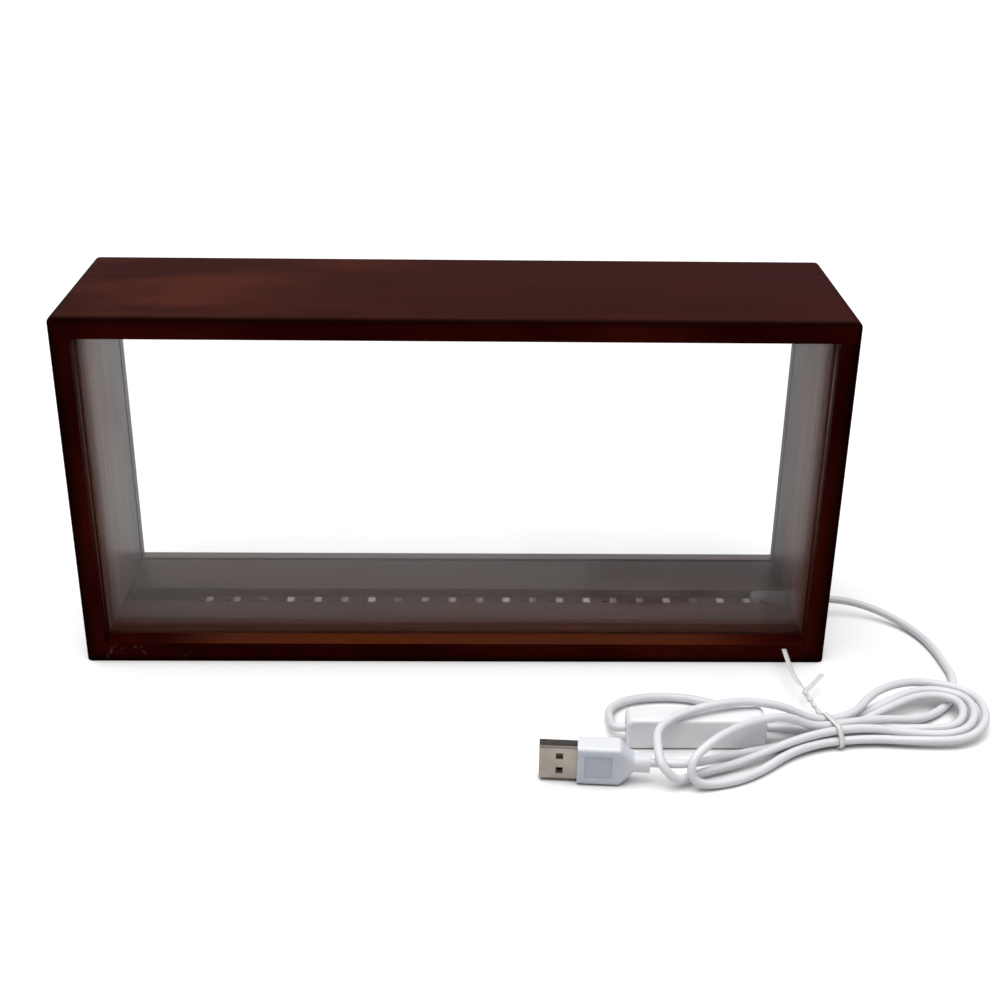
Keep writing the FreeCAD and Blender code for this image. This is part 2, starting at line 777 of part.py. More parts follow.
make_case()
make_panels()
make_strip()
make_strip_end()
make_cord()
make_tie()
make_switch()
make_plug()

os.makedirs("parts", exist_ok=True)
for name, shape in pieces.items():
    shape.exportStep("parts/" + name + ".step")
    print(name, "solids", len(shape.Solids), "valid", shape.isValid(), "volume", round(shape.Volume, 1))
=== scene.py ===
# %% [markdown]
# # A lit display case and its tied lead
# The solids of the case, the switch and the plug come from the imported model, and already stand in the right
# place. This lesson gives each of them its finish, lays the cord as two smooth curves, ties the hank, and
# then sets the floor, the light and the camera. Everything is in metres, with X to the right, Y to the back
# and Z up.

import math
from collections import namedtuple

import bmesh
import bpy
from mathutils import Matrix, Vector


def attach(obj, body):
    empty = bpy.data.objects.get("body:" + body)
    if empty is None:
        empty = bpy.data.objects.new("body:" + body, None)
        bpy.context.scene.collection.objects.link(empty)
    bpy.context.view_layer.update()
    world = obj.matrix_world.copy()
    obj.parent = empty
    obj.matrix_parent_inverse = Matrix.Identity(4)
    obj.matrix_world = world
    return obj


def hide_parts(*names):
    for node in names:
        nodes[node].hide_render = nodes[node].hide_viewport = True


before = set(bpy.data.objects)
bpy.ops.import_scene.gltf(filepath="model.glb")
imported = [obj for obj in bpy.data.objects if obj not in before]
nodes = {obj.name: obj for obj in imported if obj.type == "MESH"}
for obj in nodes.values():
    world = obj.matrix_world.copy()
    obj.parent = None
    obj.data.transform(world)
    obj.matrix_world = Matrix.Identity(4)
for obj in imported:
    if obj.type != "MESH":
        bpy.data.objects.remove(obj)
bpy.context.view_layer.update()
scene = bpy.context.scene


def put_in_scene(name, data):
    """A new object of that name in the scene."""
    piece = bpy.data.objects.new(name, data)
    scene.collection.objects.link(piece)
    return piece


print("pieces in the model:", len(nodes))

# %% [markdown]
# ## Camera
# The photograph was taken by hand from in front and above, a little to the right of the middle. The camera
# could be aimed at a point, but that gives no roll, so its three axes are worked out from the pitch, yaw and
# roll.

# %% Camera
camera_place = Vector((0.00496, -0.48287, 0.27630))
pitch = math.radians(25.445)
yaw = math.radians(-1.218)
roll = math.radians(0.784)
level = Vector((math.cos(yaw), math.sin(yaw), 0))
ahead = Vector((-math.sin(yaw) * math.cos(pitch), math.cos(yaw) * math.cos(pitch), -math.sin(pitch)))
upward = level.cross(ahead)
camera_right = level * math.cos(roll) + upward * math.sin(roll)
camera_top = upward * math.cos(roll) - level * math.sin(roll)
camera_turn = Matrix((camera_right, camera_top, -ahead)).transposed()
camera_data = bpy.data.cameras.new("camera")
camera_data.sensor_width = 36.0
camera_data.lens = 53.29
camera = put_in_scene("camera", camera_data)
camera.matrix_world = Matrix.Translation(camera_place) @ camera_turn.to_4x4()
scene.camera = camera
print("camera at", tuple(camera_place), "with a lens of", camera_data.lens)

# %% [markdown]
# ## Cord: the free lead
# A thin white lead leaves a hole low in the right side, drops to the table and curls round to the front. It
# could be a tube along straight runs, but a real lead has no corners, so its points are the control points of
# one NURBS spline, which passes near them in a smooth line. Places are in millimetres from the case's front
# right foot, which is easier to read, and are turned to metres here.

# %% Lead
millimetre = 0.001
foot = Vector((0.130, -0.035, 0.0))
cord_radius = 0.0014
cord_exit = Vector((0.130, 0.0005, 0.006))
lead_start = Vector((0.011, 0.0, 0.0))
lead_route = [(22.5, 33.2, 4.4), (32.5, 26.6, 2.3), (39.0, 16.5, 1.4), (41.6, 5.0, 1.4), (42.4, -6.0, 1.4)]


def from_foot(place):
    """A place in metres, given in millimetres from the case's front right foot."""
    return foot + Vector(place) * millimetre


lead_points = [cord_exit, cord_exit + lead_start] + [from_foot(place) for place in lead_route]
print("points of the lead:", len(lead_points))

# %% [markdown]
# ## Cord: the hank
# The rest of the lead is folded three times to and fro and drawn in by a tie, with the switch caught in its
# left loops. Each strand is written as the places that it passes, with its heading there. Between two places
# the spline needs two control points, one ahead of the first and one behind the second, as the handles of a
# drawn curve have. Their reach is the one that makes the leg between them as long as the other two together,
# which keeps the bend even.

# %% Places that the strands pass
Passing = namedtuple("Passing", "place heading")


def passing(place, heading):
    """A place on a strand, from the case's front right foot, with its heading."""
    return Passing(from_foot(place), Vector(heading).normalized())


waist_place = -8.0
waist_back = -42.2
waist_step = 3.4
waist_height = 2.4
waist_rise = 3.0
under_bights = passing((39.0, -23.0, 1.4), (-0.45, -1.0, 0.0))
inside_bights = passing((17.0, -40.6, 3.0), (-1.0, -0.2, 0.18))
front_crest = passing((-30.0, -54.2, 12.6), (-1.0, -0.38, 0.05))
front_shoulder = passing((-53.0, -69.4, 11.5), (-0.75, -0.6, -0.25))
front_fold = passing((-57.1, -74.2, 6.8), (0.05, -0.3, -1.0))
front_landing = passing((-49.0, -74.0, 1.4), (1.0, 0.3, 0.0))
top_crest = passing((-30.5, -45.8, 12.8), (-1.0, -0.06, 0.12))
neck_fold = passing((-67.1, -69.0, 10.7), (-0.06, -0.98, -0.17))
neck_front = passing((-63.8, -74.6, 5.6), (0.7, 0.0, -0.7))
neck_landing = passing((-51.0, -68.0, 2.0), (1.0, 0.35, 0.03))
rear_crest = passing((-63.0, -25.4, 1.8), (-1.0, 0.0, 0.01))
rear_fold = passing((-79.3, -38.6, 2.6), (0.0, -1.0, 0.08))
beside_switch = passing((-34.0, -56.2, 1.4), (-1.0, -0.29, 0.0))
switch_left = passing((-75.0, -49.0, 5.5), (1.0, 0.0, 0.0))
switch_right = passing((-30.0, -49.0, 5.5), (1.0, 0.0, 0.0))
plug_yaw = math.radians(-4.0)
plug_way = Vector((-math.cos(plug_yaw), -math.sin(plug_yaw), 0.0))
plug_neck = passing((-69.6, -70.1, 6.75), plug_way)
print("switch mouths at", tuple(switch_left.place), tuple(switch_right.place))

# %% Waist and right bights
bight_middle = (29.6, -36.4)
bight_radius = 15.7
bight_step = 3.6
bight_low = 2.7
bight_crest = 4.85
shoulder_places = [(18.0, -25.0, 6.5), (19.6, -28.2, 4.1), (21.2, -31.4, 4.8)]
shoulder_slopes = [0.06, -0.18, -0.1]


def waist_row(slot, heading):
    """A strand in the waist's lower row, counted from the back."""
    return passing((waist_place, waist_back - slot * waist_step, waist_height), heading)


def waist_top(slot, heading):
    """A strand that lies in one of the lower row's hollows, counted from the back."""
    back = waist_back - (slot + 0.5) * waist_step
    return passing((waist_place, back, waist_height + waist_rise), heading)


def right_bight(number):
    """One of the nested bights on the right, from its near side to its far side."""
    x, y = bight_middle
    radius = bight_radius - number * bight_step
    near = passing((x, y - radius, bight_low), (1.0, 0.0, 0.02))
    crest = passing((x + radius, y, bight_crest), (0.0, 1.0, 0.02))
    return [near, crest, passing(shoulder_places[number], (-1.0, -0.5, shoulder_slopes[number]))]


def other_way(strand):
    """The same places passed the other way."""
    return [Passing(point.place, -point.heading) for point in reversed(strand)]


lead_end = Passing(lead_points[-1], (lead_points[-1] - lead_points[-2]).normalized())
first_turn = [lead_end, under_bights, inside_bights, waist_top(1, (-1.0, -0.26, 0.0))]
first_turn += [front_crest, front_shoulder, front_fold, front_landing]
second_turn = [waist_row(3, (1.0, 0.22, 0.0)), *right_bight(0), waist_top(0, (-1.0, -0.22, 0.03))]
second_turn += [top_crest, neck_fold, neck_front, neck_landing]
third_turn = [waist_top(2, (1.0, 0.25, 0.04)), *right_bight(1), waist_row(0, (-1.0, -0.28, 0.0))]
third_turn += [rear_crest, rear_fold, switch_left]
hank_strand = first_turn + second_turn + third_turn
tail_strand = [switch_right, waist_row(1, (1.0, 0.25, 0.0)), *other_way(right_bight(2))]
tail_strand += [waist_row(2, (-1.0, -0.28, 0.0)), beside_switch]
tail_strand.append(Passing(plug_neck.place - plug_way * 2 * cord_radius, plug_way))
print("places passed:", len(hank_strand), "by the hank and", len(tail_strand), "by the tail")

# %% Control points from places and headings
same_heading = 1e-6
grip = Vector((0.0028, 0.0, 0.0))


def even_reach(start, end):
    """How far the two control points lie from their places, so that the bend between them is even."""
    span = end.place - start.place
    unlike = 1 - start.heading.dot(end.heading)
    both = span.dot(start.heading + end.heading)
    if unlike < same_heading:
        return span.length_squared / (2 * both)
    return (math.sqrt(both ** 2 + 2 * unlike * span.length_squared) - both) / (2 * unlike)


def strand_controls(strand):
    """Two control points for each stretch between neighbouring places."""
    controls = []
    for start, end in zip(strand, strand[1:]):
        reach = even_reach(start, end)
        controls.append(start.place + start.heading * reach)
        controls.append(end.place - end.heading * reach)
    return controls


hank_points = lead_points + strand_controls(hank_strand) + [switch_left.place, switch_left.place + grip]
tail_points = [switch_right.place - grip, switch_right.place] + strand_controls(tail_strand)
tail_points += [tail_strand[-1].place, plug_neck.place]
print("control points:", len(hank_points), "and", len(tail_points))

# %% [markdown]
# ## Cord: the two curves
# A cord could be a mesh tube, but a curve with a round bevel stays easy to edit and keeps its thickness in
# every bend. The order is set after the points are added, because Blender lowers it while there are too few
# of them.

# %% Cord curves


def lay_cord(name, points):
    """One open NURBS spline with a round bevel, riding on the case."""
    curve = bpy.data.curves.new(name, "CURVE")
    curve.dimensions = "3D"
    curve.bevel_depth = 1.0
    curve.bevel_resolution = 5
    curve.use_fill_caps = True
    spline = curve.splines.new("NURBS")
    spline.points.add(len(points) - 1)
    for control, place in zip(spline.points, points):
        control.co = (*place, 1.0)
        control.radius = cord_radius
    spline.order_u = 3
    spline.use_endpoint_u = True
    spline.resolution_u = 10
    cord = put_in_scene(name, curve)
    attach(cord, "case")
    print(name, "has a spline of about", round(spline.calc_length() * 1000), "mm")
    return cord


cord_to_switch = lay_cord("cord_to_switch", hank_points)
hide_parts("cable_lead", "cable_hank")
cord_to_plug = lay_cord("cord_to_plug", tail_points)
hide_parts("cable_tail")

# %% [markdown]
# ## Twist tie
# A flat white strip with a wire in its middle is drawn round the waist, its ends are twisted together twice,
# and then stick out as a long and a short tail. The band could be a bent strip, but the convex hull of four
# round pins, set where the outermost strands lie, is exactly the shape that a tight band takes. It is drawn
# square to X about the waist's middle. Only one rim of the hull is kept and drawn out again as a strip, a
# middle loop is pushed out for the wire, solidify gives the strip its thickness, and then it is turned a
# little across the strands, as a tie pulled by hand lies.

# %% Tie's band
tie_width = 0.0017
tie_thick = 0.00035
tie_clear = 0.0005
tie_turn = math.radians(20.0)
pin_segments = 32
rim_angle = 1.2
along_strands = (1.0, 0.0, 0.0)
band_strands = [waist_row(3, along_strands), waist_row(0, along_strands)]
band_middle = (band_strands[0].place + band_strands[1].place) / 2
band_strands += [waist_top(0, along_strands), waist_top(2, along_strands)]
tie = bmesh.new()
for strand in band_strands:
    pin = strand.place - band_middle
    for side in (-0.5, 0.5):
        pin_end = Matrix.Translation((side * tie_width, pin.y, pin.z))
        pin_turn = pin_end @ Matrix.Rotation(math.pi / 2, 4, "Y")
        bmesh.ops.create_circle(tie, segments=pin_segments, radius=cord_radius + tie_clear, matrix=pin_turn)
hull = bmesh.ops.convex_hull(tie, input=tie.verts)
loose = [item for item in hull["geom_interior"] if isinstance(item, bmesh.types.BMVert)]
bmesh.ops.delete(tie, geom=loose, context="VERTS")
tie.normal_update()
rim = []
for edge in tie.edges:
    turned = len(edge.link_faces) == 2 and edge.calc_face_angle() > rim_angle
    if turned and max(vert.co.x for vert in edge.verts) < 0:
        rim.append(edge)
others = [edge for edge in tie.edges if edge not in rim]
bmesh.ops.delete(tie, geom=list(tie.faces), context="FACES_ONLY")
bmesh.ops.delete(tie, geom=others, context="EDGES")
bmesh.ops.delete(tie, geom=[vert for vert in tie.verts if not vert.link_edges], context="VERTS")
print("points round the band:", len(tie.verts), "edges:", len(tie.edges))

# %% Tie's strip section
wire_rise = 0.0002
wire_share = 0.5
loop = list(tie.edges)
ridge = []
for share in (0.34, wire_share, 0.66, 1.0):
    grown = bmesh.ops.extrude_edge_only(tie, edges=loop)["geom"]
    loop = [item for item in grown if isinstance(item, bmesh.types.BMEdge)]
    moved = [item for item in grown if isinstance(item, bmesh.types.BMVert)]
    for vert in moved:
        vert.co.x = (share - 0.5) * tie_width
    if share == wire_share:
        ridge = moved
bmesh.ops.recalc_face_normals(tie, faces=tie.faces)
tie.normal_update()
for vert in ridge:
    vert.co += vert.normal * wire_rise
bmesh.ops.solidify(tie, geom=list(tie.faces), thickness=-tie_thick)
across_strands = Matrix.Translation(band_middle) @ Matrix.Rotation(tie_turn, 4, "Z")
bmesh.ops.transform(tie, matrix=across_strands, verts=tie.verts)
print("band faces:", len(tie.faces), "open edges:", sum(edge.is_boundary for edge in tie.edges))

# %% [markdown]
# The two ends wind round each other like the strands of a cord. Each could be swept by hand, but a curve with
# the strip's own outline as its bevel does it, and the tilt of each point turns the strip as it goes round.
# The curve is then made a mesh and added to the band, so that the tie is one piece.

# %% Tie's twisted ends
twist_start = from_foot((-10.1, -41.5, 5.0))
twist_end = from_foot((-12.7, -26.7, 5.0))
twist_radius = 0.00034
twist_steps = 16
twist_turns = 2
swell_power = 6
same_place = 1e-6
long_end = [(-13.6, -22.6, 5.5), (-14.9, -17.7, 6.0), (-15.1, -9.6, 6.5), (-15.0, -2.2, 6.6)]
short_end = [(-10.6, -24.8, 5.2), (-8.1, -22.0, 5.6), (-6.5, -20.0, 5.9), (-5.0, -18.0, 6.2)]
strip_outline = [(-0.85, 0.0), (-0.8, 0.13), (-0.3, 0.15), (0.0, 0.32), (0.3, 0.15), (0.8, 0.13), (0.85, 0.0),
                 (0.8, -0.13), (0.0, -0.15), (-0.8, -0.13)]
section_curve = bpy.data.curves.new("strip_section", "CURVE")
section_line = section_curve.splines.new("POLY")
section_line.points.add(len(strip_outline) - 1)
for control, (across, out) in zip(section_line.points, strip_outline):
    control.co = (across * millimetre, out * millimetre, 0.0, 1.0)
section_line.use_cyclic_u = True
section = put_in_scene("strip_section", section_curve)


def twisted_end(phase, free_end):
    """One end of the tie as a mesh: two turns about the twist's line, then a free tail."""
    along = (twist_end - twist_start).normalized()
    side = along.cross(Vector((0.0, 0.0, 1.0))).normalized()
    up = side.cross(along)
    curve = bpy.data.curves.new("strip_end", "CURVE")
    curve.dimensions = "3D"
    curve.twist_mode = "Z_UP"
    curve.bevel_mode = "OBJECT"
    curve.bevel_object = section
    curve.use_fill_caps = True
    spline = curve.splines.new("NURBS")
    spline.points.add(twist_steps + len(free_end))
    for step in range(twist_steps + 1):
        angle = phase + 2 * math.pi * twist_turns * step / twist_steps
        out = side * math.cos(angle) + up * math.sin(angle)
        swell = 1 + (step / twist_steps) ** swell_power
        place = twist_start.lerp(twist_end, step / twist_steps) + out * twist_radius * swell
        spline.points[step].co = (*place, 1.0)
        spline.points[step].tilt = math.pi / 2 - angle
    for control, place in zip(spline.points[twist_steps + 1:], free_end):
        control.co = (*from_foot(place), 1.0)
        control.tilt = spline.points[twist_steps].tilt - math.pi / 2
    spline.order_u = 3
    spline.use_endpoint_u = True
    spline.resolution_u = 6
    holder = put_in_scene("strip_end", curve)
    bpy.context.view_layer.update()
    mesh = bpy.data.meshes.new_from_object(holder.evaluated_get(bpy.context.evaluated_depsgraph_get()))
    bpy.data.objects.remove(holder)
    return mesh


for phase, free_end in ((0.0, long_end), (math.pi, short_end)):
    tie.from_mesh(twisted_end(phase, free_end))
bpy.data.objects.remove(section)
bmesh.ops.remove_doubles(tie, verts=tie.verts, dist=same_place)
bmesh.ops.recalc_face_normals(tie, faces=tie.faces)
tie_mesh = bpy.data.meshes.new("tie")
tie.to_mesh(tie_mesh)
tie.free()
tie_mesh.shade_smooth()
tie_piece = put_in_scene("tie", tie_mesh)
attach(tie_piece, "case")
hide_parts("twist_tie")
print("tie faces:", len(tie_mesh.polygons))

# %% [markdown]
# ## Node helpers
# Finishes are made of nodes. Wiring each by hand takes many lines, so one helper makes a node, sets its
# options and joins or fills its inputs, and a few more stand for the nodes that are used most.

# %% Node helpers


def add(tree, kind, inputs, **options):
    """A node with its options set and its inputs filled with values or joined to sockets."""
    node = tree.nodes.new(kind)
    for option, value in options.items():
        setattr(node, option, value)
    for socket, value in inputs.items():
        if isinstance(value, bpy.types.NodeSocket):
            tree.links.new(value, node.inputs[socket])
        else:
            node.inputs[socket].default_value = value
    return node


def sum_of(tree, operation, first, second=0.0):
    """One step of arithmetic."""
    return add(tree, "ShaderNodeMath", {0: first, 1: second}, operation=operation).outputs[0]


def times(tree, first, *others):
    """The product of several values."""
    for other in others:
        first = sum_of(tree, "MULTIPLY", first, other)
    return first


def apart(tree, first, second):
    """How far apart two values are."""
    return sum_of(tree, "ABSOLUTE", sum_of(tree, "SUBTRACT", first, second))


def ease(tree, value, start, end, low=0.0, high=1.0):
    """A value that goes smoothly from low to high as another goes from start to end."""
    inputs = {"Value": value, "From Min": start, "From Max": end, "To Min": low, "To Max": high}
    return add(tree, "ShaderNodeMapRange", inputs, interpolation_type="SMOOTHSTEP").outputs[0]


def blend_colour(tree, share, first, second):
    """A colour between two others."""
    node = add(tree, "ShaderNodeMix", {0: share, 6: first, 7: second}, data_type="RGBA")
    return node.outputs[2]


def noise(tree, vector, scale, detail=3.0, roughness=0.55):
    """Soft noise from nought to one."""
    inputs = {"Vector": vector, "Scale": scale, "Detail": detail, "Roughness": roughness}
    return add(tree, "ShaderNodeTexNoise", inputs).outputs[0]


def stretch(tree, vector, factors):
    """A vector with each part multiplied."""
    return add(tree, "ShaderNodeVectorMath", {0: vector, 1: factors}, operation="MULTIPLY").outputs[0]


def parts_of(tree, vector):
    """The three parts of a vector."""
    return add(tree, "ShaderNodeSeparateXYZ", {0: vector}).outputs


print("node helpers are ready")

# %% Helpers for groups and finishes


def new_group(name, inputs, outputs):
    """An empty node group with named sockets, and its two ends."""
    group = bpy.data.node_groups.new(name, "ShaderNodeTree")
    for socket in inputs:
        kind = "NodeSocketVector" if socket == "Vector" else "NodeSocketFloat"
        group.interface.new_socket(socket, in_out="INPUT", socket_type=kind)
    for socket in outputs:
        group.interface.new_socket(socket, in_out="OUTPUT", socket_type="NodeSocketFloat")
    return group, group.nodes.new("NodeGroupInput").outputs, group.nodes.new("NodeGroupOutput").inputs


def new_finish(name):
    """A material with its tree, its shader and the object's own coordinates."""
    material = bpy.data.materials.new(name)
    material.use_nodes = True
    tree = material.node_tree
    shader = tree.nodes["Principled BSDF"]
    place = add(tree, "ShaderNodeTexCoord", {}).outputs["Object"]
    return material, tree, shader, place


def raise_surface(tree, shader, height, depth):
    """A bump from a height between nought and one."""
    inputs = {"Height": height, "Distance": depth, "Strength": 1.0}
    tree.links.new(add(tree, "ShaderNodeBump", inputs).outputs[0], shader.inputs["Normal"])


def give(material, *names):
    """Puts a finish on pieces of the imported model."""
    for name in names:
        mesh = nodes[name].data
        mesh.materials.clear()
        mesh.materials.append(material)


print("helpers for finishes are ready")

# %% [markdown]
# ## Speckle
# No moulded or plated surface is one flat colour. Broad clouds of slightly different tone and a fine grain of
# the mould's texture show on all of them at different sizes, so they are one node group with the grain's size
# as an input. A picture could do the same, but noise has no seams and costs nothing to store.

# %% Speckle group
grains_in_cloud = 40.0
grains_in_mark = 9.0
speckle, speckle_in, speckle_out = new_group("speckle", ["Vector", "Size"], ["Cloud", "Fine", "Marks"])
fine_scale = sum_of(speckle, "DIVIDE", 1.0, speckle_in["Size"])
cloud_scale = sum_of(speckle, "DIVIDE", fine_scale, grains_in_cloud)
marks_scale = sum_of(speckle, "DIVIDE", fine_scale, grains_in_mark)
marks = noise(speckle, speckle_in["Vector"], marks_scale, 5.0, 0.7)
speckle.links.new(noise(speckle, speckle_in["Vector"], cloud_scale, 2.0), speckle_out["Cloud"])
speckle.links.new(noise(speckle, speckle_in["Vector"], fine_scale, 1.0), speckle_out["Fine"])
speckle.links.new(ease(speckle, marks, 0.6, 0.78), speckle_out["Marks"])
print("speckle has", len(speckle.nodes), "nodes")

# %% Speckled finish
mark_share = 0.5
fine_depth = 0.00001
soft_depth = 0.00002


def speckled(name, colour, shade, size, roughness, depth, metallic=0.0, shine=0.5):
    """A finish whose colour, roughness and height vary with the speckle."""
    material, tree, shader, place = new_finish(name)
    grain = add(tree, "ShaderNodeGroup", {"Vector": place, "Size": size}, node_tree=speckle).outputs
    tone = times(tree, grain["Marks"], mark_share)
    tone = sum_of(tree, "MAXIMUM", tone, ease(tree, grain["Cloud"], 0.35, 0.8))
    tree.links.new(blend_colour(tree, tone, (*colour, 1.0), (*shade, 1.0)), shader.inputs["Base Color"])
    tree.links.new(ease(tree, grain["Cloud"], 0.3, 0.7, *roughness), shader.inputs["Roughness"])
    shader.inputs["Metallic"].default_value = metallic
    shader.inputs["Specular IOR Level"].default_value = shine
    raise_surface(tree, shader, grain["Fine"], depth)
    return material


cord_finish = speckled("cord white", (0.76, 0.76, 0.785), (0.70, 0.70, 0.735), 0.0005, (0.32, 0.44),
                       soft_depth)
cord_to_switch.data.materials.append(cord_finish)
cord_to_plug.data.materials.append(cord_finish)
give(cord_finish, "cable_inner", "cable_lead", "cable_hank", "cable_tail")
tie_finish = speckled("tie white", (0.78, 0.77, 0.75), (0.70, 0.69, 0.68), 0.0004, (0.38, 0.55), soft_depth)
tie_mesh.materials.append(tie_finish)
give(tie_finish, "twist_tie")
print("cord and tie have their finishes")

# %% [markdown]
# ## Dark stained wood
# The case is a pale wood stained a deep red-brown and lacquered to a satin. Its grain runs along each board.
# It could be a picture of wood, but that would repeat and end at seams. Three noises, stretched along the
# grain, make the streaks, the broad clouds that the stain leaves, and the pores. One group holds them, turned
# for each board with a Mapping node.

# %% Wood grain group
streak_stretch = (14.0, 420.0, 420.0)
cloud_stretch = (16.0, 34.0, 34.0)
pore_stretch = (160.0, 2600.0, 2600.0)
grain_group, grain_in, grain_out = new_group("wood grain", ["Vector"], ["Streak", "Cloud", "Pore"])
streak = noise(grain_group, stretch(grain_group, grain_in["Vector"], streak_stretch), 1.0, 6.0, 0.6)
cloud = noise(grain_group, stretch(grain_group, grain_in["Vector"], cloud_stretch), 1.0, 3.0, 0.5)
pore = noise(grain_group, stretch(grain_group, grain_in["Vector"], pore_stretch), 1.0, 2.0, 0.5)
grain_group.links.new(ease(grain_group, streak, 0.3, 0.7), grain_out["Streak"])
grain_group.links.new(ease(grain_group, cloud, 0.38, 0.72), grain_out["Cloud"])
grain_group.links.new(ease(grain_group, pore, 0.6, 0.7), grain_out["Pore"])
print("wood grain has", len(grain_group.nodes), "nodes")

# %% [markdown]
# Every outer arris of the case is darker. Where a point is on the outside, the second smallest of its
# distances to the case's sides is its distance to the nearest arris. The group works that out from the
# object's own coordinates, which are the same for all four boards.

# %% Arris group
half_width = 0.130
half_depth = 0.035
case_height = 0.126
arris, arris_in, arris_out = new_group("arris", ["Vector", "Width"], ["Mask"])
parts = parts_of(arris, arris_in["Vector"])
to_side = sum_of(arris, "SUBTRACT", half_width, sum_of(arris, "ABSOLUTE", parts[0]))
to_face = sum_of(arris, "SUBTRACT", half_depth, sum_of(arris, "ABSOLUTE", parts[1]))
to_end = sum_of(arris, "MINIMUM", parts[2], sum_of(arris, "SUBTRACT", case_height, parts[2]))
least = sum_of(arris, "MINIMUM", to_side, sum_of(arris, "MINIMUM", to_face, to_end))
most = sum_of(arris, "MAXIMUM", to_side, sum_of(arris, "MAXIMUM", to_face, to_end))
total = sum_of(arris, "ADD", to_side, sum_of(arris, "ADD", to_face, to_end))
middle = sum_of(arris, "SUBTRACT", sum_of(arris, "SUBTRACT", total, least), most)
arris.links.new(ease(arris, middle, arris_in["Width"], 0.0), arris_out["Mask"])
print("arris has", len(arris.nodes), "nodes")

# %% [markdown]
# The front edges of the boards are nearly black-red, partly a deeper stain and partly painted shade on faces
# that turn from the light. The narrow lips in front of the front panel carry painted light: the floor's lip
# is a warm orange-brown that fades towards its ends, and the other boards show a thin pale line, a painted
# glint, beside the panel.

# %% Lips in front of the panel
Lip = namedtuple("Lip", "axis sign edge front back run start end colour")
lip_back = -0.0277
lip_fade = 0.018
lip_corner = (0.0005, 0.0001)
line_blend = 0.0003
# The lips' colours are painted light: a warm glow on the floor's lip and a pale glint beside the side panels.
top_lip = Lip(2, -1.0, -0.119, -0.0286, lip_back, 0, -0.11, 0.11, (0.06, 0.026, 0.018, 1.0))
floor_lip = Lip(2, 1.0, 0.007, -0.0347, lip_back, 0, -0.090, 0.094, (0.096, 0.0195, 0.0022, 1.0))
left_lip = Lip(0, 1.0, -0.123, -0.0322, -0.0304, 2, 0.02, 0.11, (0.16, 0.075, 0.05, 1.0))
right_lip = Lip(0, -1.0, -0.123, -0.0322, -0.0304, 2, 0.02, 0.11, (0.28, 0.17, 0.14, 1.0))


def lip_masks(tree, parts, lip):
    """One on the whole of a board's lip, and one on the part with painted light, which fades at the lip's
    ends.
    """
    inward = times(tree, parts[lip.axis], lip.sign)
    inside = ease(tree, inward, lip.edge - lip_corner[0], lip.edge - lip_corner[1])
    whole = times(tree, inside, ease(tree, parts[1], lip_back + line_blend, lip_back))
    near = ease(tree, parts[1], lip.front - line_blend, lip.front)
    far = ease(tree, parts[1], lip.back + line_blend, lip.back)
    begun = ease(tree, parts[lip.run], lip.start - lip_fade, lip.start + lip_fade)
    ended = ease(tree, parts[lip.run], lip.end + lip_fade, lip.end - lip_fade)
    return whole, times(tree, whole, near, far, begun, ended)


print("lips of four boards are described")

# %% [markdown]
# Each board then mixes its colours by where a point lies. The inner faces are paler towards the front, the
# floor's front edge is scuffed at its left end, and the groove for the lights is bare and dull. How much a
# board mirrors goes up from its front to its back, as the haze in the photograph does.

# %% Wood colours and places
wood_dark = (0.0325, 0.0090, 0.0075, 1.0)
wood_mid = (0.0375, 0.0105, 0.0088, 1.0)
wood_brown = (0.072, 0.0190, 0.0130, 1.0)
wood_front_stain_and_shade = (0.018, 0.0007, 0.0006, 1.0)
wood_warm = (0.042, 0.0040, 0.0018, 1.0)
wood_sunk = (0.070, 0.0280, 0.0210, 1.0)
wood_scuff = (0.080, 0.0290, 0.0220, 1.0)
wood_arris = (0.003, 0.0004, 0.0003, 1.0)
wood_pale_inside = (0.200, 0.0850, 0.0600, 1.0)
front_stain_and_shade_share = 0.98
arris_share = 0.95
pore_share = 0.25
front_edge = (-0.0335, -0.0348)
patchy_side = (0.02, -0.10, 0.2, 1.0)
inner_faces = (0.1240, 0.1232)
pale_inside_streaks = (0.0, 1.0, 0.5, 1.0)
pale_inside_depth = (0.030, -0.014)
scuff_scale = 260.0
scuff_marks = (0.55, 0.68)
scuff_along = (-0.080, -0.110)
scuff_height = (0.0070, 0.0050)
light_line = 0.0005
groove_half = (0.0053, 0.0051)
groove_below = (0.0068, 0.0064)
sheen_depth = (lip_back, 0.010)
rear_lip = (0.0300, 0.0308)
lacquer_roughness = (0.30, 0.42)
print("front edges start at", front_edge[0], "and the lights lie along", light_line)

# %% Wood finish
Board = namedtuple("Board", "piece look way front_sheen rear_sheen lip_sheen worn_share dark_width lip")
along_x = (0.0, 0.0, 0.0)
along_z = (0.0, math.pi / 2, 0.0)


